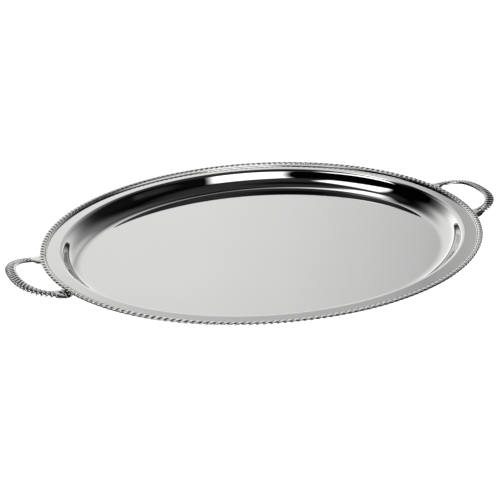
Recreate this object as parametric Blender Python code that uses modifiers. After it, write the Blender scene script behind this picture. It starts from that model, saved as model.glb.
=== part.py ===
"""Oval serving tray with a raised roll border and two cast loop handles.

Run with:  blender --background --python part.py

Units are metres, +Z up.  The origin is the middle of the underside, +X runs along the tray to the
right handle and +Y runs to its back edge.  An "inset" is a distance measured inwards from the rim's
outer ellipse, square to it, and every ring of the tray is such an offset of that one ellipse.
"""
import math

import bmesh
import bpy
from mathutils import Matrix, Vector

# ---- driving dimensions -------------------------------------------------------------------------
RIM_HALF_LENGTH = 0.250       # outer ellipse of the border, along X
RIM_HALF_WIDTH = 0.211        # outer ellipse of the border, along Y
SHEET = 0.0010                # thickness of the pressed tray
FIT = 0.0003                  # clearance left between pieces that touch
LEDGE_TOP = 0.0180            # top of the flat ledge above the table
LEDGE_EDGE = 0.0018           # inset of the ledge's outer edge, under the border
LEDGE_INNER = 0.0198          # inset at which the flat ledge ends
LEDGE_FILLET = 0.0062         # radius from the ledge down into the wall
WALL_ANGLE = math.radians(57)  # steepest slope of the wall from the table
FLOOR_INSET = 0.0465          # inset at which the flat floor starts

BORDER_WIDTH = 0.0076         # roll and inner bead together
BORDER_TOP = 0.0212           # crest of the roll above the table
BORDER_LIP = 0.0169           # bottom of the lip that covers the ledge's raw edge
BORDER_LIP_WALL = 0.0011      # thickness of that lip
LIP_CHAMFER = 0.0002          # bevel at the foot of the lip's outer face
ROLL_SHARE = 0.84             # share of the border's width that the roll takes
ROLL_TURNS = (12, 45, 75, 105, 135, 162)  # corners of the roll, degrees from its outer foot
BEAD_HEIGHT = 0.0009          # the plain bead along the roll's inner side
BEAD_CHAMFER = 0.0003

HANDLE_REACH = 0.0397         # centre line of the grip beyond the handle's root
HANDLE_HALF_SPAN = 0.0440     # half the distance between the two arms' centre lines
HANDLE_SQUARENESS = 2.5       # superellipse exponent of the loop seen from above
HANDLE_RISE = (0.17, 1.50)    # slope, and slope gained per metre, of the loop's centre line
ROOT_HEIGHT = 0.0138          # centre line of an arm where it passes the rim
GRIP_WIDTH = 0.0118
GRIP_THICKNESS = 0.0066
GRIP_SQUARENESS = 2.4         # superellipse exponent of the grip's section
ROOT_THINNING = 0.8           # thickness at the rim as a share of the grip's
FOOT_WIDTH = 0.0220           # the leaf-shaped foot under the ledge
FOOT_THICKNESS = 0.0024
FOOT_SQUARENESS = 5.0
FOOT_LENGTH = 0.0140          # how far the foot reaches under the ledge
FOOT_SECTIONS = (1.0, 0.86, 0.62, 0.34, 0.05)  # as shares of the foot's length, tip first
LEAF_TIP = 0.45               # width of the foot's tip as a share of its full width
FLARE_LENGTH = 0.0160         # stretch of arm over which the foot narrows to the grip

SCREW_SPACING = 0.0110        # the two screws of one foot, measured along the rim
SCREW_INSET = 0.0050
SHANK_RADIUS = 0.0014
SHANK_CHAMFER = 0.0003
HEAD_RADIUS = 0.0028
HEAD_CROWN_RADIUS = 0.0018    # the flat top of the button head
HEAD_HEIGHT = 0.0016
HEAD_RIM = 0.0006             # height of the head's straight side
SOCKET_RADIUS = 0.0011        # corner radius of the hexagon socket
SOCKET_DEPTH = 0.0009
SCREW_BITE = 0.0016           # how far the screw reaches into the border

RING_STEPS = 72               # facets round the whole ellipse
END_FACET = 0.002             # ellipse angle of the short facet at each end of a border length
HANDLE_STEPS = 30             # sections round one loop
CURVE_STEPS = 400             # points the loop's centre line is measured at
SECTION_SIDES = 12            # points round one handle section
ROUND_STEPS = 12              # facets round a screw
COVE_STEPS = 5
FILLET_STEPS = 3
SHARP_ANGLE = math.radians(35)
WELD = 0.000001

FOOT_TOP = BORDER_LIP - FIT
FOOT_BOTTOM = FOOT_TOP - FOOT_THICKNESS
BORDER_BOTTOM = LEDGE_TOP + FIT
SEAM_ANGLE = math.asin(HANDLE_HALF_SPAN / RIM_HALF_WIDTH)   # ellipse angle of the arms
ROOT_X = RIM_HALF_LENGTH * math.cos(SEAM_ANGLE)             # the rim above an arm's centre line
SCREW_TIP = BORDER_BOTTOM + SCREW_BITE

STEEL = (0.80, 0.80, 0.79)
CAST_STEEL = (0.74, 0.74, 0.73)
SCREW_STEEL = (0.62, 0.62, 0.61)


# ---- scene helpers ------------------------------------------------------------------------------
def clear_scene():
    for obj in list(bpy.data.objects):
        bpy.data.objects.remove(obj, do_unlink=True)


def make_collection(name):
    collection = bpy.data.collections.new(name)
    bpy.context.scene.collection.children.link(collection)
    return collection


def make_material(name, colour, roughness):
    material = bpy.data.materials.new(name)
    material.use_nodes = True
    shader = material.node_tree.nodes["Principled BSDF"]
    shader.inputs["Base Color"].default_value = (*colour, 1.0)
    shader.inputs["Roughness"].default_value = roughness
    shader.inputs["Metallic"].default_value = 1.0
    material.diffuse_color = (*colour, 1.0)
    return material


def add_mesh_object(name, mesh, collection, material=None):
    obj = bpy.data.objects.new(name, mesh)
    collection.objects.link(obj)
    if material:
        mesh.materials.clear()
        mesh.materials.append(material)
    return obj


def smooth(mesh):
    mesh.shade_smooth()
    mesh.set_sharp_from_angle(angle=SHARP_ANGLE)


def baked_mesh(obj):
    """The mesh of an object with its modifiers, its loose caps welded on."""
    bpy.context.view_layer.update()
    depsgraph = bpy.context.evaluated_depsgraph_get()
    mesh = bpy.data.meshes.new_from_object(obj.evaluated_get(depsgraph))
    bm = bmesh.new()
    bm.from_mesh(mesh)
    bmesh.ops.remove_doubles(bm, verts=bm.verts, dist=WELD)
    bmesh.ops.recalc_face_normals(bm, faces=bm.faces)
    bm.to_mesh(mesh)
    bm.free()
    return mesh


def add_hole(obj, cutter, name):
    boolean = obj.modifiers.new(name, "BOOLEAN")
    boolean.operation = "DIFFERENCE"
    boolean.solver = "EXACT"
    boolean.object = cutter


# ---- the rim's ellipse --------------------------------------------------------------------------
def rim_normal(angle):
    """Outward unit normal of the rim's ellipse at an ellipse angle."""
    return Vector((math.cos(angle) / RIM_HALF_LENGTH, math.sin(angle) / RIM_HALF_WIDTH, 0)).normalized()


def rim_point(angle, inset=0.0, height=0.0):
    edge = Vector((RIM_HALF_LENGTH * math.cos(angle), RIM_HALF_WIDTH * math.sin(angle), height))
    return edge - rim_normal(angle) * inset


def rim_speed(angle):
    """Metres of rim per radian of ellipse angle."""
    return math.hypot(RIM_HALF_LENGTH * math.sin(angle), RIM_HALF_WIDTH * math.cos(angle))


# ---- pressed tray -------------------------------------------------------------------------------
def arc_points(centre, radius, start, end, steps):
    """Points (inset, height) along an arc, both ends included."""
    angles = [start + (end - start) * i / steps for i in range(steps + 1)]
    return [(centre[0] + radius * math.cos(a), centre[1] + radius * math.sin(a)) for a in angles]


def pan_profile():
    """Upper surface of the tray from the ledge's edge to the start of the flat floor."""
    fillet = arc_points((LEDGE_INNER, LEDGE_TOP - LEDGE_FILLET), LEDGE_FILLET,
                        math.pi / 2, math.pi / 2 - WALL_ANGLE, FILLET_STEPS)
    wall_inset, wall_top = fillet[-1]
    corner = wall_inset + (wall_top - SHEET) / math.tan(WALL_ANGLE)
    cove_radius = (FLOOR_INSET - corner) / math.tan(WALL_ANGLE / 2)
    cove = arc_points((FLOOR_INSET, SHEET + cove_radius), cove_radius,
                      -math.pi / 2 - WALL_ANGLE, -math.pi / 2, COVE_STEPS)
    return [(LEDGE_EDGE, LEDGE_TOP)] + fillet + cove


def build_pan(collection, material):
    bm = bmesh.new()
    loops = []
    for inset, height in pan_profile():
        verts = [bm.verts.new(rim_point(2 * math.pi * i / RING_STEPS, inset, height))
                 for i in range(RING_STEPS)]
        loops.append([bm.edges.new((verts[i - 1], verts[i])) for i in range(RING_STEPS)])
    for outer, inner in zip(loops, loops[1:]):
        bmesh.ops.bridge_loops(bm, edges=outer + inner)
    bmesh.ops.contextual_create(bm, geom=loops[-1])
    bmesh.ops.recalc_face_normals(bm, faces=bm.faces)
    floor = max(bm.faces, key=lambda face: len(face.verts))
    if floor.normal.z < 0:
        bmesh.ops.reverse_faces(bm, faces=bm.faces)
    mesh = bpy.data.meshes.new("tray_pan")
    bm.to_mesh(mesh)
    bm.free()
    smooth(mesh)
    pan = add_mesh_object("tray_pan", mesh, collection, material)
    thickness = pan.modifiers.new("sheet", "SOLIDIFY")
    thickness.thickness = SHEET
    thickness.offset = -1.0
    thickness.use_even_offset = True
    return pan


# ---- border -------------------------------------------------------------------------------------
def border_outline():
    """Closed section of the border as (inset, height): a roll, a small inner bead and an outer lip."""
    roll_height = BORDER_TOP - BORDER_BOTTOM
    roll_middle = BORDER_WIDTH * ROLL_SHARE / 2
    roll = [(roll_middle - roll_middle * math.cos(a), BORDER_BOTTOM + roll_height * math.sin(a))
            for a in (math.radians(degrees) for degrees in ROLL_TURNS)]
    bead = [(BORDER_WIDTH - BEAD_CHAMFER, BORDER_BOTTOM + BEAD_HEIGHT), (BORDER_WIDTH, BORDER_BOTTOM)]
    rebate = [(BORDER_LIP_WALL, BORDER_BOTTOM), (BORDER_LIP_WALL, BORDER_LIP),
              (LIP_CHAMFER, BORDER_LIP)]
    return roll + bead + rebate


def border_section_curve(guides):
    """The border's section as a closed curve: local X points outwards, local Y upwards."""
    data = bpy.data.curves.new("border_section", "CURVE")
    data.dimensions = "2D"
    outline = border_outline()
    spline = data.splines.new("POLY")
    spline.points.add(len(outline) - 1)
    for point, (inset, height) in zip(spline.points, outline):
        point.co = (-inset, height, 0, 1)
    spline.use_cyclic_u = True
    section = bpy.data.objects.new("border_section", data)
    section.hide_render = True
    section.display_type = "WIRE"
    guides.objects.link(section)
    return section


def build_border(name, start, end, section, collection, material):
    """One length of the border, swept along the rim between two ellipse angles.

    The first and last facets are short, so that both ends are cut square to the rim.
    """
    steps = round(RING_STEPS * (end - start) / (2 * math.pi))
    inner = [start + (end - start) * i / steps for i in range(1, steps)]
    angles = [start, start + END_FACET] + inner + [end - END_FACET, end]
    data = bpy.data.curves.new(name, "CURVE")
    data.dimensions = "3D"
    data.twist_mode = "Z_UP"
    data.bevel_mode = "OBJECT"
    data.bevel_object = section
    data.use_fill_caps = True
    spline = data.splines.new("POLY")
    spline.points.add(len(angles) - 1)
    for angle, point in zip(angles, spline.points):
        point.co = (*rim_point(angle), 1)
    sweep = bpy.data.objects.new(name + "_sweep", data)
    collection.objects.link(sweep)
    mesh = baked_mesh(sweep)
    bpy.data.objects.remove(sweep, do_unlink=True)
    smooth(mesh)
    return add_mesh_object(name, mesh, collection, material)


def border_lengths():
    """Name, start angle and end angle of the four lengths; the seams lie over the handles' feet."""
    gap = FIT / (2 * RIM_HALF_WIDTH)
    seams = [-SEAM_ANGLE, SEAM_ANGLE, math.pi - SEAM_ANGLE, math.pi + SEAM_ANGLE,
             2 * math.pi - SEAM_ANGLE]
    names = ("border_right", "border_back", "border_left", "border_front")
    return [(name, seams[i] + gap, seams[i + 1] - gap) for i, name in enumerate(names)]


# ---- handles ------------------------------------------------------------------------------------
def loop_point(turn):
    """Centre line of the right-hand loop, from the front arm (-90 degrees) to the back arm (+90)."""
    power = 2 / HANDLE_SQUARENESS
    reach = HANDLE_REACH * abs(math.cos(turn)) ** power
    side = HANDLE_HALF_SPAN * math.copysign(abs(math.sin(turn)) ** power, turn)
    slope, gain = HANDLE_RISE
    return Vector((ROOT_X + reach, side, ROOT_HEIGHT + slope * reach + gain * reach * reach))


def loop_centres():
    """Evenly spaced centres round the loop."""
    fine = [loop_point(math.pi * (i / CURVE_STEPS - 0.5)) for i in range(CURVE_STEPS + 1)]
    run = [0.0]
    for a, b in zip(fine, fine[1:]):
        run.append(run[-1] + (b - a).length)
    centres = []
    k = 0
    for i in range(HANDLE_STEPS + 1):
        target = run[-1] * i / HANDLE_STEPS
        while k < len(fine) - 2 and run[k + 1] < target:
            k += 1
        share = (target - run[k]) / (run[k + 1] - run[k])
        centres.append(fine[k].lerp(fine[k + 1], share))
    return centres


def foot_centres():
    """Centres of the front foot, from its tip under the ledge out to just inside the root."""
    level = FOOT_TOP - FOOT_THICKNESS / 2
    return [Vector((ROOT_X - FOOT_LENGTH * share, -HANDLE_HALF_SPAN, level))
            for share in FOOT_SECTIONS]


def section_size(centre):
    """Width, thickness and squareness of the handle's section at a point of its centre line."""
    if centre.x < ROOT_X:
        from_tip = (centre.x - (ROOT_X - FOOT_LENGTH)) / (0.5 * FOOT_LENGTH)
        swell = math.sin(math.pi / 2 * max(0.0, min(1.0, from_tip)))
        return FOOT_WIDTH * (LEAF_TIP + (1 - LEAF_TIP) * swell), FOOT_THICKNESS, FOOT_SQUARENESS
    beyond = min(1.0, (centre.x - ROOT_X) / FLARE_LENGTH)
    blend = beyond * beyond * (3 - 2 * beyond)
    width = FOOT_WIDTH * (1 - blend) + GRIP_WIDTH * blend
    thickness = GRIP_THICKNESS * (ROOT_THINNING + (1 - ROOT_THINNING) * blend)
    return width, thickness, GRIP_SQUARENESS


def section_points(centre, along, size):
    """Points of one superellipse section, square to the centre line and level across."""
    width, thickness, squareness = size
    across = Vector((along.y, -along.x, 0)).normalized()
    up = across.cross(along).normalized()
    if up.z < 0:
        up.negate()
    power = 2 / squareness
    points = []
    for i in range(SECTION_SIDES):
        a = 2 * math.pi * (i + 0.5) / SECTION_SIDES
        x = width / 2 * math.copysign(abs(math.cos(a)) ** power, math.cos(a))
        y = thickness / 2 * math.copysign(abs(math.sin(a)) ** power, math.sin(a))
        points.append(centre + across * x + up * y)
    return points


def handle_centres():
    front = foot_centres()
    back = [Vector((c.x, -c.y, c.z)) for c in reversed(front)]
    return front + loop_centres() + back


def build_handle(name, side, collection, material):
    """One cast handle: a loop and the two feet that lie under the ledge."""
    centres = handle_centres()
    bm = bmesh.new()
    loops = []
    ends = []
    for i, centre in enumerate(centres):
        before = centres[max(0, i - 1)]
        after = centres[min(len(centres) - 1, i + 1)]
        along = (after - before).normalized()
        if centre.x < ROOT_X:
            along = Vector((1 if i < len(centres) / 2 else -1, 0, 0))
        points = section_points(centre, along, section_size(centre))
        verts = [bm.verts.new(p) for p in points]
        ring = [bm.edges.new((verts[j - 1], verts[j])) for j in range(SECTION_SIDES)]
        loops.append(ring)
        if i in (0, len(centres) - 1):
            ends.append(verts)
    for first, second in zip(loops, loops[1:]):
        bmesh.ops.bridge_loops(bm, edges=first + second)
    for verts in ends:
        bm.faces.new(verts)
    if side < 0:
        bmesh.ops.transform(bm, matrix=Matrix.Rotation(math.pi, 4, "Z"), verts=bm.verts)
    bmesh.ops.recalc_face_normals(bm, faces=bm.faces)
    mesh = bpy.data.meshes.new(name)
    bm.to_mesh(mesh)
    bm.free()
    smooth(mesh)
    return add_mesh_object(name, mesh, collection, material)


# ---- screws -------------------------------------------------------------------------------------
def screw_mesh(guides, collection, material):
    """One socket button-head screw, point up, its seat at the origin."""
    length = SCREW_TIP - (FOOT_BOTTOM - FIT)
    profile = [(0, length), (SHANK_RADIUS - SHANK_CHAMFER, length),
               (SHANK_RADIUS, length - SHANK_CHAMFER), (SHANK_RADIUS, 0), (HEAD_RADIUS, 0),
               (HEAD_RADIUS, -HEAD_RIM), (HEAD_CROWN_RADIUS, -HEAD_HEIGHT), (0, -HEAD_HEIGHT)]
    data = bpy.data.meshes.new("screw_profile")
    edges = [(i, i + 1) for i in range(len(profile) - 1)]
    data.from_pydata([(radius, 0, z) for radius, z in profile], edges, [])
    blank = add_mesh_object("screw_blank", data, collection)
    turn = blank.modifiers.new("turn", "SCREW")
    turn.steps = ROUND_STEPS
    turn.render_steps = ROUND_STEPS
    turn.use_merge_vertices = True
    turn.merge_threshold = WELD
    turned = add_mesh_object("screw_turned", baked_mesh(blank), collection)
    socket = cylinder_cutter("screw_socket", SOCKET_RADIUS, 2 * SOCKET_DEPTH,
                             Vector((0, 0, -HEAD_HEIGHT)), guides, 6)
    add_hole(turned, socket, "socket")
    mesh = baked_mesh(turned)
    for obj in (blank, turned):
        bpy.data.objects.remove(obj, do_unlink=True)
    mesh.name = "screw"
    mesh.materials.clear()
    mesh.materials.append(material)
    smooth(mesh)
    return mesh


def cylinder_cutter(name, radius, height, centre, guides, sides=ROUND_STEPS):
    bm = bmesh.new()
    bmesh.ops.create_cone(bm, cap_ends=True, segments=sides, radius1=radius, radius2=radius,
                          depth=height)
    mesh = bpy.data.meshes.new(name)
    bm.to_mesh(mesh)
    bm.free()
    cutter = bpy.data.objects.new(name, mesh)
    cutter.location = centre
    cutter.hide_render = True
    cutter.display_type = "WIRE"
    guides.objects.link(cutter)
    return cutter


def screw_places():
    """Name, ellipse angle, handle and border length of each screw."""
    places = []
    for side, base in (("right", 0.0), ("left", math.pi)):
        for end, sign in (("front", -1), ("back", 1)):
            seam = SEAM_ANGLE * sign if side == "right" else math.pi - SEAM_ANGLE * sign
            for edge, border in (("inner", "border_" + side), ("outer", "border_" + end)):
                towards_end = -sign if side == "right" else sign
                step = towards_end if edge == "inner" else -towards_end
                angle = seam + step * SCREW_SPACING / 2 / rim_speed(seam)
                places.append((f"screw_{side}_{end}_{edge}", angle, "handle_" + side, border))
    return places


def add_screws(mesh, parts, guides, collection):
    hole_radius = SHANK_RADIUS + FIT
    for name, angle, handle, border in screw_places():
        place = rim_point(angle, SCREW_INSET)
        screw = add_mesh_object(name, mesh, collection)
        screw.location = (place.x, place.y, FOOT_BOTTOM - FIT)
        low = FOOT_BOTTOM - HEAD_HEIGHT
        high = SCREW_TIP + FIT
        cutter = cylinder_cutter(name + "_hole", hole_radius, high - low,
                                 Vector((place.x, place.y, (low + high) / 2)), guides)
        for part in (parts[handle], parts[border], parts["tray_pan"]):
            add_hole(part, cutter, name + "_hole")


# ---- the tray -----------------------------------------------------------------------------------
def main():
    clear_scene()
    tray = make_collection("serving_tray")
    guides = make_collection("cutters")
    steel = make_material("polished_steel", STEEL, 0.06)
    border_steel = make_material("border_steel", STEEL, 0.12)
    cast_steel = make_material("cast_handle_steel", CAST_STEEL, 0.18)
    screw_steel = make_material("screw_steel", SCREW_STEEL, 0.30)

    parts = {"tray_pan": build_pan(tray, steel)}
    section = border_section_curve(guides)
    for name, start, end in border_lengths():
        parts[name] = build_border(name, start, end, section, tray, border_steel)
    for side, sign in (("right", 1), ("left", -1)):
        name = "handle_" + side
        parts[name] = build_handle(name, sign, tray, cast_steel)
    add_screws(screw_mesh(guides, tray, screw_steel), parts, guides, tray)


main()
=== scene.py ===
"""Looks of the oval serving tray: a mirror-polished pressing, a cast gadroon border and cast loop handles.

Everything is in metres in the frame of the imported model: +X towards the right handle, +Y towards
the back, +Z up, the origin on the table under the middle of the tray.
"""
import math

import bmesh
import bpy
import numpy as np
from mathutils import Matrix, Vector


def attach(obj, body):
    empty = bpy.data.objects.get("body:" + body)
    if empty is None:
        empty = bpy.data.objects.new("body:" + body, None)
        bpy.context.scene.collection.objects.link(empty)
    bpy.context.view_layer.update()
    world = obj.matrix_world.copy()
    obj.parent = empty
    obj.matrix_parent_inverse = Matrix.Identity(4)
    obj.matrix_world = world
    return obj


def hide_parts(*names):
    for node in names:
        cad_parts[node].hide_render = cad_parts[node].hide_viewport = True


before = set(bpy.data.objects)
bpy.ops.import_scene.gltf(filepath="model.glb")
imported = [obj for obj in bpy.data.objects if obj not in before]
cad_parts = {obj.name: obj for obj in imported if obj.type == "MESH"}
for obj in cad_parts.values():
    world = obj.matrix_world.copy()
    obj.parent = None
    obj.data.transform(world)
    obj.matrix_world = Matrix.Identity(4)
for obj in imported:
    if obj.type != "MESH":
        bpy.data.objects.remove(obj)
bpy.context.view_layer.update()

# ---- the tray's own dimensions, as in the CAD model ----------------------------------------------
RIM_HALF_LENGTH = 0.250
RIM_HALF_WIDTH = 0.211
SHEET = 0.0010
FIT = 0.0003
LEDGE_TOP = 0.0180
LEDGE_EDGE = 0.0018
LEDGE_INNER = 0.0198
LEDGE_FILLET = 0.0062
WALL_ANGLE = math.radians(57)
FLOOR_INSET = 0.0465
BORDER_WIDTH = 0.0076
BORDER_TOP = 0.0212
BORDER_LIP = 0.0169
BORDER_LIP_WALL = 0.0011
ROLL_SHARE = 0.84
HANDLE_REACH = 0.0397
HANDLE_HALF_SPAN = 0.0440
HANDLE_SQUARENESS = 2.5
HANDLE_RISE = (0.17, 1.50)
ROOT_HEIGHT = 0.0138
GRIP_WIDTH = 0.0118
GRIP_THICKNESS = 0.0066
GRIP_SQUARENESS = 2.4
ROOT_THINNING = 0.8
FOOT_WIDTH = 0.0220
FOOT_THICKNESS = 0.0024
FOOT_SQUARENESS = 5.0
FOOT_LENGTH = 0.0140
LEAF_TIP = 0.45
FLARE_LENGTH = 0.0160
FOOT_TOP = BORDER_LIP - FIT
BORDER_BOTTOM = LEDGE_TOP + FIT
SEAM_ANGLE = math.asin(HANDLE_HALF_SPAN / RIM_HALF_WIDTH)
ROOT_X = RIM_HALF_LENGTH * math.cos(SEAM_ANGLE)

# ---- dimensions of the finer forms ---------------------------------------------------------------
LEDGE_TILT = math.radians(3.0)      # the ledge falls slightly towards the rim
LEDGE_RINGS = (0.0, 0.02, 0.35, 0.6, 0.9)  # mesh rings across the ledge, as shares of its width
WALL_RINGS = (0.3, 0.7)
FLOOR_RINGS = (0.002, 0.030)        # mesh rings on the flat floor, inwards from its edge
PAN_STEPS = 360                     # facets round the tray
COVE_STEPS = 28
FILLET_STEPS = 18

LOBE_PITCH = 0.0068                 # gadroon lobes along the rim
LOBE_DEPTH = 0.00085                # depth of the groove between two lobes
LOBE_SLANT = 0.85                   # how far a lobe leans from its inner to its outer end, in lobes
LOBE_SWAY = 0.10                    # the S bend in that lean, in the same measure
LOBE_FULLNESS = 0.62                # under 1, the crests are broad and the grooves narrow
LOBE_STEPS = 12                     # facets along one lobe
LOBE_RUN_OUT = 0.0008               # the grooves run out over this length at a cut end
EDGE_RUN_OUT = 0.35                 # and towards the edges of the roll; smaller is more sudden
ROLL_STEPS = 22                     # facets over the roll
ROLL_SQUARENESS = 2.9
ROLL_START = math.radians(2)
ROLL_DROP = 0.0001                  # the roll stays this much under the CAD border's top
BEAD_HALF_WIDTH = 0.0006
BEAD_HEIGHT = 0.0015
BEAD_START = math.radians(8)
BEAD_STEPS = 8
LIP_INSET = 0.0001                  # the lip stands just inside the rim and has a small chamfer
LIP_CHAMFER = 0.0003

HANDLE_LOBE_PITCH = 0.0043
HANDLE_LOBE_DEPTH = 0.0012
HANDLE_LOBE_SLANT = 0.45
FLUTE_DEPTH = 0.0005                # the leaf's flutes at the handle's roots
FLUTES = 2.5                        # flutes on each side of the leaf's middle
INNER_LIP_DEPTH = 0.00035           # the line between the lobes and the plain inner lip
INNER_LIP_PLACE = -0.72             # -1 is the inner side of the grip and 1 the outer side
INNER_LIP_WIDTH = 0.10
FOOT_BLEND = 0.0016                 # length over which the flat foot turns into the grip
FOOT_STEPS = 60
HANDLE_STEPS = 420
HANDLE_SIDES = 32
CURVE_STEPS = 4000                  # fine steps used to space points evenly along a curve
SHARP_ANGLE = math.radians(50)


# ---- curves of the tray --------------------------------------------------------------------------
def rim_normals(angles):
    """Outward unit normals of the rim's ellipse at an array of ellipse angles."""
    normals = np.stack([np.cos(angles) / RIM_HALF_LENGTH, np.sin(angles) / RIM_HALF_WIDTH], axis=-1)
    return normals / np.linalg.norm(normals, axis=-1, keepdims=True)


def rim_points(angles, insets, heights):
    """Points at an inset from the rim; the three arrays broadcast against each other."""
    angles, insets, heights = np.broadcast_arrays(angles, insets, heights)
    edge = np.stack([RIM_HALF_LENGTH * np.cos(angles), RIM_HALF_WIDTH * np.sin(angles)], axis=-1)
    flat = edge - rim_normals(angles) * insets[..., None]
    return np.concatenate([flat, heights[..., None]], axis=-1)


def arc_angles(start, end, steps):
    """Ellipse angles from start to end at even distances along the rim, with those distances."""
    fine = np.linspace(start, end, CURVE_STEPS)
    speed = np.hypot(RIM_HALF_LENGTH * np.sin(fine), RIM_HALF_WIDTH * np.cos(fine))
    run = np.concatenate([[0.0], np.cumsum((speed[1:] + speed[:-1]) / 2 * np.diff(fine))])
    even = np.linspace(0.0, run[-1], steps + 1)
    return np.interp(even, run, fine), even


# ---- mesh helpers --------------------------------------------------------------------------------
def grid_faces(rows, columns, close_rows, close_columns):
    """Quads over a grid of points, optionally joined from the last row or column to the first."""
    faces = []
    for i in range(rows if close_rows else rows - 1):
        for j in range(columns if close_columns else columns - 1):
            k = (i + 1) % rows
            m = (j + 1) % columns
            faces.append((i * columns + j, i * columns + m, k * columns + m, k * columns + j))
    return faces


def make_piece(name, points, faces, material, shade=None):
    """A smooth-shaded mesh object that rides on the tray; shade is a value per point, kept as the recess
    attribute, by which its material paints shade.
    """
    mesh = bpy.data.meshes.new(name)
    mesh.from_pydata([tuple(p) for p in points], [], faces)
    if shade is not None:
        layer = mesh.attributes.new("recess", "FLOAT", "POINT")
        layer.data.foreach_set("value", np.asarray(shade, dtype=np.float32))
    bm = bmesh.new()
    bm.from_mesh(mesh)
    bmesh.ops.recalc_face_normals(bm, faces=bm.faces)
    bm.to_mesh(mesh)
    bm.free()
    mesh.shade_smooth()
    mesh.set_sharp_from_angle(angle=SHARP_ANGLE)
    mesh.materials.append(material)
    piece = bpy.data.objects.new(name, mesh)
    bpy.context.scene.collection.objects.link(piece)
    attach(piece, "root")
    return piece


# ---- pressed tray --------------------------------------------------------------------------------
def arc(centre, radius, start, end, steps):
    """Points of an arc in the (inset, height) plane."""
    turn = np.linspace(start, end, steps + 1)
    return np.stack([centre[0] + radius * np.cos(turn), centre[1] + radius * np.sin(turn)], axis=-1)


def pan_profile():
    """Upper surface as (inset, height), from the ledge's edge to a ring just inside the flat floor."""
    slope = math.tan(LEDGE_TILT)
    inner_top = LEDGE_TOP + (LEDGE_INNER - BORDER_WIDTH) * slope
    ledge = [(inset, inner_top - (LEDGE_INNER - inset) * slope)
             for inset in np.interp(LEDGE_RINGS, (0, 1), (LEDGE_EDGE, LEDGE_INNER))]
    fillet = arc((LEDGE_INNER, inner_top - LEDGE_FILLET), LEDGE_FILLET,
                 math.pi / 2 + LEDGE_TILT, math.pi / 2 - WALL_ANGLE, FILLET_STEPS)
    wall_inset, wall_top = fillet[-1]
    corner = wall_inset + (wall_top - SHEET) / math.tan(WALL_ANGLE)
    cove_radius = (FLOOR_INSET - corner) / math.tan(WALL_ANGLE / 2)
    cove = arc((FLOOR_INSET, SHEET + cove_radius), cove_radius,
               -math.pi / 2 - WALL_ANGLE, -math.pi / 2, COVE_STEPS)
    wall = [fillet[-1] + (cove[0] - fillet[-1]) * s for s in WALL_RINGS]
    floor = [(FLOOR_INSET + ring, SHEET) for ring in FLOOR_RINGS]
    return np.array([*ledge, *fillet, *wall, *cove, *floor])


def underside(profile):
    """The profile one sheet thickness below, measured square to the surface."""
    tangent = np.gradient(profile, axis=0)
    tangent /= np.linalg.norm(tangent, axis=1, keepdims=True)
    return profile + np.stack([tangent[:, 1], -tangent[:, 0]], axis=-1) * SHEET


def build_pan(material):
    """The tray's one sheet: both faces, closed over the rim's edge and in the middle of the floor."""
    top = pan_profile()
    under = underside(top)
    under[-2:, 1] = 0.0
    section = np.concatenate([under[::-1], top])
    angles = np.linspace(0, 2 * math.pi, PAN_STEPS, endpoint=False)
    points = rim_points(angles[:, None], section[None, :, 0], section[None, :, 1])
    rows, columns = points.shape[:2]
    faces = grid_faces(rows, columns, True, False)
    points = points.reshape(-1, 3)
    floor = [i * columns + columns - 1 for i in range(rows)]
    base = [i * columns for i in range(rows)]
    middle_top = len(points)
    points = np.concatenate([points, [[0, 0, SHEET], [0, 0, 0]]])
    for i in range(rows):
        faces.append((floor[i], floor[(i + 1) % rows], middle_top))
        faces.append((base[(i + 1) % rows], base[i], middle_top + 1))
    piece = make_piece("polished_tray", points, faces, material)
    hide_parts("tray_pan")
    return piece


# ---- gadroon border ------------------------------------------------------------------------------
def lobe_wave(phase):
    """Rounded lobe: 1 on its crest, 0 in the groove between two lobes."""
    return np.abs(np.sin(math.pi * phase)) ** LOBE_FULLNESS


def roll_section():
    """Outer to inner over the roll: inset, height, outward normal and the share of the way across."""
    width = BORDER_WIDTH * ROLL_SHARE
    height = BORDER_TOP - BORDER_BOTTOM - ROLL_DROP
    turn = np.linspace(ROLL_START, math.pi - ROLL_START, ROLL_STEPS + 1)
    power = 2 / ROLL_SQUARENESS
    side = np.sign(np.cos(turn)) * np.abs(np.cos(turn)) ** power
    inset = width / 2 * (1 - side)
    level = BORDER_BOTTOM + height * np.sin(turn) ** power
    along = np.gradient(np.stack([inset, level], axis=-1), axis=0)
    normal = np.stack([-along[:, 1], along[:, 0]], axis=-1)
    normal /= np.linalg.norm(normal, axis=1, keepdims=True)
    return inset, level, normal, (1 - side) / 2


def fixed_section():
    """The plain part of the section, inner bead first, then under the roll and round the lip."""
    bead_middle = BORDER_WIDTH * (1 + ROLL_SHARE) / 2
    bead = [(bead_middle - BEAD_HALF_WIDTH * math.cos(a), BORDER_BOTTOM + BEAD_HEIGHT * math.sin(a))
            for a in np.linspace(BEAD_START, math.pi, BEAD_STEPS + 1)]
    lip = [(BORDER_WIDTH, BORDER_BOTTOM), (BORDER_LIP_WALL, BORDER_BOTTOM), (BORDER_LIP_WALL, BORDER_LIP),
           (LIP_CHAMFER, BORDER_LIP), (LIP_INSET, BORDER_LIP + LIP_CHAMFER)]
    return np.array(bead + lip)


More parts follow.
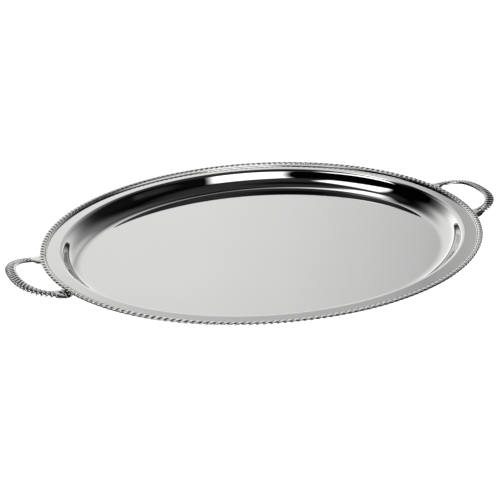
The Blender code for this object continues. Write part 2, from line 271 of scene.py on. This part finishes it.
def build_border(name, node, start, end, material):
    """One length of the border with its slanted lobes, cut square at both ends."""
    length = arc_angles(start, end, 2)[1][-1]
    lobes = round(length / LOBE_PITCH)
    angles, run = arc_angles(start, end, lobes * LOBE_STEPS)
    inset, level, normal, across = roll_section()
    lean = LOBE_SLANT * (across - 0.5 + LOBE_SWAY * np.sin(2 * math.pi * across))
    phase = run[:, None] / length * lobes - lean[None, :]
    wave = lobe_wave(phase)
    ends = np.minimum(1.0, np.minimum(run, length - run) / LOBE_RUN_OUT)[:, None]
    groove = (1 - wave) * np.sin(math.pi * across) ** EDGE_RUN_OUT * ends
    insets = inset - normal[:, 0] * LOBE_DEPTH * groove
    levels = level - normal[:, 1] * LOBE_DEPTH * groove
    plain = fixed_section()
    count = len(angles)
    all_insets = np.concatenate([insets, np.tile(plain[:, 0], (count, 1))], axis=1)
    all_levels = np.concatenate([levels, np.tile(plain[:, 1], (count, 1))], axis=1)
    # Painted shade: the material darkens the border's colour by these recess values, in the grooves between
    # the lobes and fully in the quirk between the roll and the bead.
    recess = np.concatenate([groove, np.zeros((count, len(plain)))], axis=1)
    recess[:, ROLL_STEPS - 1:ROLL_STEPS + 2] = 1.0  # the quirk between the roll and the bead
    points = rim_points(angles[:, None], all_insets, all_levels)
    rows, columns = points.shape[:2]
    faces = grid_faces(rows, columns, False, True)
    faces.append(tuple(range(columns)))
    faces.append(tuple((rows - 1) * columns + j for j in reversed(range(columns))))
    piece = make_piece(name, points.reshape(-1, 3), faces, material, recess.ravel())
    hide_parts(node)
    return piece


def build_borders(material):
    """The four lengths, which meet at the handles' arms with a small gap."""
    gap = FIT / (2 * RIM_HALF_WIDTH)
    seams = [-SEAM_ANGLE, SEAM_ANGLE, math.pi - SEAM_ANGLE, math.pi + SEAM_ANGLE,
             2 * math.pi - SEAM_ANGLE]
    for i, side in enumerate(("right", "back", "left", "front")):
        build_border(f"gadroon_{side}", f"border_{side}", seams[i] + gap, seams[i + 1] - gap, material)


# ---- handles -------------------------------------------------------------------------------------
def loop_centres():
    """Evenly spaced centres of the right-hand handle, from the front foot's tip to the back foot's."""
    turn = np.linspace(-math.pi / 2, math.pi / 2, CURVE_STEPS // 2 + 1)
    power = 2 / HANDLE_SQUARENESS
    reach = HANDLE_REACH * np.abs(np.cos(turn)) ** power
    side = HANDLE_HALF_SPAN * np.sign(turn) * np.abs(np.sin(turn)) ** power
    slope, gain = HANDLE_RISE
    loop = np.stack([ROOT_X + reach, side, ROOT_HEIGHT + slope * reach + gain * reach ** 2], axis=-1)
    share = np.linspace(1.0, 0.0, FOOT_STEPS, endpoint=False)
    level = FOOT_TOP - FOOT_THICKNESS / 2
    sink = (ROOT_HEIGHT - level) * (1 - share) ** 3
    side_line = np.full(FOOT_STEPS, -HANDLE_HALF_SPAN)
    front = np.stack([ROOT_X - FOOT_LENGTH * share, side_line, level + sink], axis=-1)
    back = front[::-1] * (1, -1, 1)
    path = np.concatenate([front, loop, back])
    run = np.concatenate([[0.0], np.cumsum(np.linalg.norm(np.diff(path, axis=0), axis=1))])
    even = np.linspace(0, run[-1], HANDLE_STEPS + 1)
    return np.stack([np.interp(even, run, path[:, k]) for k in range(3)], axis=-1), even


def smooth_share(value):
    """A smooth step from 0 to 1."""
    value = np.clip(value, 0.0, 1.0)
    return value * value * (3 - 2 * value)


def handle_sizes(centres):
    """Width, thickness, squareness and the share of grip (1) against foot (0) at each centre."""
    beyond = smooth_share((centres[:, 0] - ROOT_X) / FLARE_LENGTH)
    tip = np.clip((centres[:, 0] - ROOT_X + FOOT_LENGTH) / (0.5 * FOOT_LENGTH), 0, 1)
    leaf = LEAF_TIP + (1 - LEAF_TIP) * np.sin(math.pi / 2 * tip)
    width = (FOOT_WIDTH * (1 - beyond) + GRIP_WIDTH * beyond) * leaf
    grip = GRIP_THICKNESS * (ROOT_THINNING + (1 - ROOT_THINNING) * beyond)
    under = smooth_share((centres[:, 0] - ROOT_X + FOOT_BLEND) / FOOT_BLEND)
    thickness = FOOT_THICKNESS * (1 - under) + grip * under
    squareness = FOOT_SQUARENESS * (1 - under) + GRIP_SQUARENESS * under
    return width, thickness, squareness, beyond


def build_handle(name, node, sign, material):
    """One handle: lobes over its outer shoulder, a plain inner lip, and a fluted leaf at each foot."""
    centres, run = loop_centres()
    width, thickness, squareness, beyond = handle_sizes(centres)
    along = np.gradient(centres, axis=0)
    along /= np.linalg.norm(along, axis=1, keepdims=True)
    outward = np.stack([along[:, 1], -along[:, 0], np.zeros(len(along))], axis=-1)
    outward /= np.linalg.norm(outward, axis=1, keepdims=True)
    up = np.cross(outward, along)
    up *= np.sign(up[:, 2:3])
    turn = 2 * math.pi * (np.arange(HANDLE_SIDES) + 0.5) / HANDLE_SIDES
    power = (2 / squareness)[:, None]
    x = np.sign(np.cos(turn)) * np.abs(np.cos(turn))[None, :] ** power
    y = np.sign(np.sin(turn)) * np.abs(np.sin(turn))[None, :] ** power

    lobes = round(run[-1] / HANDLE_LOBE_PITCH)
    phase = (run / run[-1] * lobes)[:, None] - HANDLE_LOBE_SLANT * x
    shoulder = smooth_share((x + 0.80) / 0.4) * smooth_share((y + 0.7) / 0.6)
    groove = 1 - lobe_wave(phase)
    lobed = smooth_share((beyond - 0.35) / 0.5)[:, None]
    flute = 0.5 - 0.5 * np.cos(2 * math.pi * FLUTES * x)
    fan = smooth_share(beyond / 0.12)[:, None] * (1 - lobed)
    lip = np.exp(-((x - INNER_LIP_PLACE) / INNER_LIP_WIDTH) ** 2) * (y > 0) * lobed
    cut = HANDLE_LOBE_DEPTH * groove * shoulder * lobed
    cut = cut + FLUTE_DEPTH * flute * fan * smooth_share(y / 0.5) + INNER_LIP_DEPTH * lip
    size = np.hypot(x * width[:, None] / 2, y * thickness[:, None] / 2)
    shrink = 1 - cut / np.maximum(size, 1e-4)
    x = x * shrink
    y = y * shrink
    points = (centres[:, None, :] + outward[:, None, :] * (x * width[:, None] / 2)[..., None]
              + up[:, None, :] * (y * thickness[:, None] / 2)[..., None])
    if sign < 0:
        points = points * (-1, -1, 1)
    # Painted shade: the material darkens the handle's colour by this recess value, in the lobes' grooves,
    # the leaf's flutes and the line at the inner lip.
    recess = np.clip(cut / HANDLE_LOBE_DEPTH, 0, 1)
    rows, columns = points.shape[:2]
    faces = grid_faces(rows, columns, False, True)
    faces.append(tuple(range(columns)))
    faces.append(tuple((rows - 1) * columns + j for j in reversed(range(columns))))
    piece = make_piece(name, points.reshape(-1, 3), faces, material, recess.ravel())
    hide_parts(node)
    return piece


# ---- materials -----------------------------------------------------------------------------------
def new_material(name, colour, roughness):
    """A metal material, its node tree and its shader."""
    material = bpy.data.materials.new(name)
    material.use_nodes = True
    nodes = material.node_tree.nodes
    shader = nodes["Principled BSDF"]
    shader.inputs["Metallic"].default_value = 1.0
    shader.inputs["Base Color"].default_value = (*colour, 1.0)
    shader.inputs["Roughness"].default_value = roughness
    return material, material.node_tree, shader


def add_node(tree, kind, **settings):
    """A new node with its properties set."""
    node = tree.nodes.new(kind)
    for key, value in settings.items():
        setattr(node, key, value)
    return node


def noise(tree, source, scale, detail=2.0, stretch=None):
    """A noise texture in object space, stretched by a mapping when asked."""
    if stretch:
        mapping = add_node(tree, "ShaderNodeMapping")
        mapping.inputs["Scale"].default_value = stretch
        tree.links.new(source, mapping.inputs["Vector"])
        source = mapping.outputs["Vector"]
    texture = add_node(tree, "ShaderNodeTexNoise")
    texture.inputs["Scale"].default_value = scale
    texture.inputs["Detail"].default_value = detail
    tree.links.new(source, texture.inputs["Vector"])
    return texture.outputs["Fac"]


def remap(tree, value, low, high, to_low, to_high):
    """A value stretched from one range to another and held at its ends."""
    node = add_node(tree, "ShaderNodeMapRange")
    for key, number in (("From Min", low), ("From Max", high), ("To Min", to_low), ("To Max", to_high)):
        node.inputs[key].default_value = number
    tree.links.new(value, node.inputs["Value"])
    return node.outputs["Result"]


def bump(tree, height, strength, distance, normal=None):
    """A bumped normal, laid over another when one is given."""
    node = add_node(tree, "ShaderNodeBump")
    node.inputs["Strength"].default_value = strength
    node.inputs["Distance"].default_value = distance
    tree.links.new(height, node.inputs["Height"])
    if normal:
        tree.links.new(normal, node.inputs["Normal"])
    return node.outputs["Normal"]


def object_space(tree):
    """Object coordinates, which stay put on the metal."""
    return add_node(tree, "ShaderNodeTexCoord").outputs["Object"]


def mix_colour(tree, factor, first, second):
    """A blend between two colours."""
    node = add_node(tree, "ShaderNodeMix", data_type="RGBA")
    node.inputs["A"].default_value = (*first, 1.0)
    node.inputs["B"].default_value = (*second, 1.0)
    tree.links.new(factor, node.inputs["Factor"])
    return node.outputs["Result"]


def polished_sheet():
    """Mirror-polished sheet: a faint waviness from pressing, hairline wiping marks and a cloudy bloom."""
    material, tree, shader = new_material("mirror_polished_sheet", (0.84, 0.84, 0.83), 0.04)
    space = object_space(tree)
    cloud = noise(tree, space, 9.0, 4.0)
    hairlines = noise(tree, space, 60.0, 3.0, (1.0, 14.0, 1.0))
    cross_lines = noise(tree, space, 55.0, 3.0, (12.0, 1.0, 1.0))
    rough = add_node(tree, "ShaderNodeMath", operation="MULTIPLY")
    tree.links.new(remap(tree, cloud, 0.35, 0.7, 0.6, 1.25), rough.inputs[0])
    tree.links.new(remap(tree, hairlines, 0.5, 0.75, 0.028, 0.05), rough.inputs[1])
    tree.links.new(rough.outputs[0], shader.inputs["Roughness"])
    tree.links.new(mix_colour(tree, cloud, (0.85, 0.85, 0.845), (0.82, 0.82, 0.81)),
                   shader.inputs["Base Color"])
    wave = bump(tree, noise(tree, space, 14.0, 1.0), 0.05, 0.0004)
    scratch = bump(tree, hairlines, 0.02, 0.00002, wave)
    tree.links.new(bump(tree, cross_lines, 0.02, 0.00002, scratch), shader.inputs["Normal"])
    return material


def cast_metal(name, bright, dark, roughness, grain, full_shade_depth):
    """Polished casting: bright crests, painted shade in the recesses and a fine cast grain.

    The last argument is the depth, as a share of a full groove, at which the painted shade is complete.
    """
    material, tree, shader = new_material(name, bright, roughness)
    space = object_space(tree)
    recess = add_node(tree, "ShaderNodeAttribute", attribute_name="recess").outputs["Fac"]
    blotch = noise(tree, space, 120.0, 3.0)
    # Painted shade: the base colour turns towards the dark colour in the recesses, with a blotchy strength.
    painted_recess_shade = add_node(tree, "ShaderNodeMath", operation="MULTIPLY")
    tree.links.new(remap(tree, recess, 0.20, full_shade_depth, 0.0, 1.0), painted_recess_shade.inputs[0])
    tree.links.new(remap(tree, blotch, 0.3, 0.7, 0.7, 1.0), painted_recess_shade.inputs[1])
    tree.links.new(mix_colour(tree, painted_recess_shade.outputs[0], bright, dark), shader.inputs["Base Color"])
    tree.links.new(remap(tree, painted_recess_shade.outputs[0], 0.0, 1.0, roughness, roughness + 0.16),
                   shader.inputs["Roughness"])
    pits = bump(tree, noise(tree, space, 900.0, 4.0), grain, 0.00006)
    tree.links.new(bump(tree, noise(tree, space, 150.0, 2.0), grain, 0.0003, pits),
                   shader.inputs["Normal"])
    return material


def screw_metal():
    """Turned screw: machined rings and a duller, slightly stained surface."""
    material, tree, shader = new_material("turned_screw_steel", (0.62, 0.62, 0.61), 0.3)
    space = object_space(tree)
    rings = noise(tree, space, 1500.0, 2.0, (1.0, 1.0, 6.0))
    stain = noise(tree, space, 300.0, 3.0)
    tree.links.new(remap(tree, rings, 0.3, 0.7, 0.22, 0.38), shader.inputs["Roughness"])
    tree.links.new(mix_colour(tree, stain, (0.66, 0.66, 0.65), (0.50, 0.49, 0.47)),
                   shader.inputs["Base Color"])
    tree.links.new(bump(tree, rings, 0.25, 0.00003), shader.inputs["Normal"])
    return material


def dress_screws(material):
    """The screws keep their CAD shape and get the turned metal."""
    for name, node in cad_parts.items():
        if name.startswith("screw_"):
            node.data.materials.clear()
            node.data.materials.append(material)


# ---- studio --------------------------------------------------------------------------------------
def calc(tree, operation, *values):
    """A math node; each value is a number or a socket."""
    node = add_node(tree, "ShaderNodeMath", operation=operation)
    for socket, value in zip(node.inputs, values):
        if isinstance(value, (int, float)):
            socket.default_value = value
        else:
            tree.links.new(value, socket)
    return node.outputs[0]


def curve_value(tree, value, stops):
    """A grey line through (value, brightness) stops."""
    low, high = stops[0][0], stops[-1][0]
    node = add_node(tree, "ShaderNodeValToRGB")
    elements = node.color_ramp.elements
    while len(elements) < len(stops):
        elements.new(0.5)
    for element, (place, grey) in zip(elements, stops):
        element.position = (place - low) / (high - low)
        element.color = (grey, grey, grey, 1.0)
    tree.links.new(remap(tree, value, low, high, 0.0, 1.0), node.inputs["Fac"])
    return node.outputs["Color"]


def soft_box(tree, across, along, corners, edge, strength):
    """A soft-edged light box on the dome of the studio, from its corners in the dome's flat coordinates."""
    mask = strength
    for (x0, y0), (x1, y1) in zip(corners, corners[1:] + corners[:1]):
        length = math.hypot(x1 - x0, y1 - y0)
        inward = ((y0 - y1) / length, (x1 - x0) / length)
        depth = calc(tree, "ADD", calc(tree, "MULTIPLY", across, inward[0]),
                     calc(tree, "MULTIPLY", along, inward[1]))
        start = x0 * inward[0] + y0 * inward[1]
        node = add_node(tree, "ShaderNodeMapRange", interpolation_type="SMOOTHSTEP")
        node.inputs["From Min"].default_value = start - edge
        node.inputs["From Max"].default_value = start + edge
        tree.links.new(depth, node.inputs["Value"])
        mask = calc(tree, "MULTIPLY", mask, node.outputs["Result"])
    return mask


# Each light box: its corners on the dome, anticlockwise (1 from the middle is the horizon and +Y is the
# back of the studio), the softness of its edge and its brightness.
LIGHT_BOXES = (
    (((0.010, 0.255), (0.235, 0.435), (0.235, 0.505), (-0.045, 0.325)), 0.035, 1.7),
    (((-0.165, 0.210), (-0.550, 0.110), (-0.300, -0.220), (-0.165, -0.170)), 0.030, 1.7),
    (((-0.180, -0.740), (0.215, -0.740), (0.200, -0.385), (-0.165, -0.385)), 0.035, 1.7),
)
# Brightness against degrees above the horizon and degrees round from the back towards the right.
BACKDROP_HEIGHT = ((0, 1.25), (6, 1.15), (14, 0.88), (18, 0.84), (26, 0.80), (30, 0.74), (34, 0.56),
                   (38, 0.30), (42, 0.10), (46, 0.015), (50, 0.002), (90, 0.0))
BACKDROP_ROUND = ((-180, 0), (-44, 0), (-38, 0.06), (-32, 0.19), (-25, 0.42), (-20, 0.66), (-14, 0.90),
                  (-6, 1.0), (22, 1.0), (27, 0.93), (31, 0.82), (34, 0.72), (37, 0.50), (43, 0.78),
                  (50, 0.68), (60, 0.30), (68, 0.0), (180, 0))
WALL_HEIGHT = ((0, 0.80), (6, 0.70), (14, 0.50), (22, 0.38), (30, 0.28), (38, 0.19), (46, 0.10),
               (54, 0.055), (64, 0.04), (90, 0.0))
WALL_ROUND = ((-180, 0), (30, 0), (36, 0.10), (44, 0.75), (50, 1.0), (56, 0.95), (64, 0.75),
              (72, 0.45), (80, 0.18), (86, 0.06), (92, 0.02), (180, 0.02))
FRONT_HEIGHT = ((0, 1.30), (8, 1.25), (14, 0.90), (24, 0.60), (32, 0.05), (38, 0.0), (90, 0.0))
FRONT_ROUND = ((0, 0.0), (114, 0.0), (134, 1.0), (180, 1.0))
CEILING = ((0, 0.0), (50, 0.001), (62, 0.028), (74, 0.032), (84, 0.004), (90, 0.003))


def build_world():
    """The studio: a backdrop, a dimmer side wall, a low front fill, a dim ceiling and three light boxes."""
    world = bpy.data.worlds.new("studio")
    bpy.context.scene.world = world
    world.use_nodes = True
    tree = world.node_tree
    split = add_node(tree, "ShaderNodeSeparateXYZ")
    tree.links.new(add_node(tree, "ShaderNodeTexCoord").outputs["Generated"], split.inputs[0])
    x, y, z = split.outputs
    height = calc(tree, "MULTIPLY", calc(tree, "ARCSINE", z), math.degrees(1))
    azimuth = calc(tree, "MULTIPLY", calc(tree, "ARCTAN2", x, y), math.degrees(1))
    square = calc(tree, "ADD", calc(tree, "MULTIPLY", x, x), calc(tree, "MULTIPLY", y, y))
    level = calc(tree, "SQRT", square)
    spread = calc(tree, "DIVIDE", calc(tree, "SUBTRACT", 1.0, calc(tree, "DIVIDE", height, 90.0)),
                  calc(tree, "MAXIMUM", level, 0.0001))
    across = calc(tree, "MULTIPLY", x, spread)
    along = calc(tree, "MULTIPLY", y, spread)
    backdrop = calc(tree, "MULTIPLY", curve_value(tree, height, BACKDROP_HEIGHT),
                    curve_value(tree, azimuth, BACKDROP_ROUND))
    wall = calc(tree, "MULTIPLY", curve_value(tree, height, WALL_HEIGHT),
                curve_value(tree, azimuth, WALL_ROUND))
    front = calc(tree, "MULTIPLY", curve_value(tree, height, FRONT_HEIGHT),
                 curve_value(tree, calc(tree, "ABSOLUTE", azimuth), FRONT_ROUND))
    total = calc(tree, "MAXIMUM", calc(tree, "MAXIMUM", backdrop, wall),
                 calc(tree, "MAXIMUM", front, curve_value(tree, height, CEILING)))
    for corners, edge, strength in LIGHT_BOXES:
        total = calc(tree, "MAXIMUM", total, soft_box(tree, across, along, corners, edge, strength))
    studio = tree.nodes["Background"]
    tree.links.new(total, studio.inputs["Color"])
    pale = add_node(tree, "ShaderNodeBackground")
    pale.inputs["Color"].default_value = (1.0, 1.0, 1.0, 1.0)
    choose = add_node(tree, "ShaderNodeMixShader")
    tree.links.new(add_node(tree, "ShaderNodeLightPath").outputs["Is Camera Ray"], choose.inputs["Fac"])
    tree.links.new(studio.outputs["Background"], choose.inputs[1])
    tree.links.new(pale.outputs["Background"], choose.inputs[2])
    tree.links.new(choose.outputs["Shader"], tree.nodes["World Output"].inputs["Surface"])


FLOOR_RADIUS = 6.0
FLOOR_GAP = 0.0002      # clear of the tray's underside
FLOOR_GLOW = 0.9
FLOOR_FALL = 0.30       # the glow falls off over this distance behind the tray's middle


def build_floor():
    """A plain pale sweep, lit from below as a light table is, so that it stays white.

    In the metal's reflections it falls off behind the tray, so the far edges stand out from the white.
    """
    bpy.ops.mesh.primitive_circle_add(vertices=96, radius=FLOOR_RADIUS, fill_type="NGON",
                                      location=(0, 0, -FLOOR_GAP))
    floor = bpy.context.object
    floor.name = "floor"
    material = bpy.data.materials.new("pale_floor")
    material.use_nodes = True
    tree = material.node_tree
    shader = tree.nodes["Principled BSDF"]
    shader.inputs["Base Color"].default_value = (0.9, 0.9, 0.9, 1.0)
    shader.inputs["Roughness"].default_value = 0.9
    shader.inputs["Specular IOR Level"].default_value = 0.0
    shader.inputs["Emission Color"].default_value = (1.0, 1.0, 1.0, 1.0)
    place = add_node(tree, "ShaderNodeSeparateXYZ")
    tree.links.new(object_space(tree), place.inputs[0])
    fall = remap(tree, place.outputs[1], 0.0, FLOOR_FALL, FLOOR_GLOW, 0.0)
    camera_ray = add_node(tree, "ShaderNodeLightPath").outputs["Is Camera Ray"]
    glow = calc(tree, "MAXIMUM", fall, calc(tree, "MULTIPLY", camera_ray, FLOOR_GLOW))
    tree.links.new(glow, shader.inputs["Emission Strength"])
    floor.data.materials.append(material)


# ---- camera --------------------------------------------------------------------------------------
CAMERA_AZIMUTH = math.radians(-24.95)
CAMERA_ELEVATION = math.radians(24.74)
CAMERA_DISTANCE = 1.3548
CAMERA_TARGET = Vector((-0.0146, 0.0088, -0.0035))
CAMERA_LENS = 87.3


def build_camera():
    """A long lens a little to the left of the front, looking down on the tray."""
    data = bpy.data.cameras.new("camera")
    data.lens = CAMERA_LENS
    data.clip_start = 0.05
    data.clip_end = 50
    camera = bpy.data.objects.new("camera", data)
    flat = math.cos(CAMERA_ELEVATION)
    back = Vector((math.sin(CAMERA_AZIMUTH) * flat, -math.cos(CAMERA_AZIMUTH) * flat,
                   math.sin(CAMERA_ELEVATION)))
    camera.location = CAMERA_TARGET + back * CAMERA_DISTANCE
    camera.rotation_mode = "QUATERNION"
    camera.rotation_quaternion = (-back).to_track_quat("-Z", "Y")
    bpy.context.scene.collection.objects.link(camera)
    bpy.context.scene.camera = camera


bpy.context.scene.view_settings.view_transform = "Standard"
build_camera()
build_world()
build_floor()
build_pan(polished_sheet())
# The dark colours below are painted shade for the recesses of the border and the handles.
build_borders(cast_metal("polished_gadroon", bright=(0.90, 0.90, 0.89), dark=(0.28, 0.28, 0.27),
                         roughness=0.14, grain=0.15, full_shade_depth=0.80))
handle_metal = cast_metal("polished_handle_casting", bright=(0.89, 0.89, 0.88), dark=(0.10, 0.10, 0.098),
                          roughness=0.10, grain=0.2, full_shade_depth=0.70)
build_handle("gadroon_handle_right", "handle_right", 1, handle_metal)
build_handle("gadroon_handle_left", "handle_left", -1, handle_metal)
dress_screws(screw_metal())
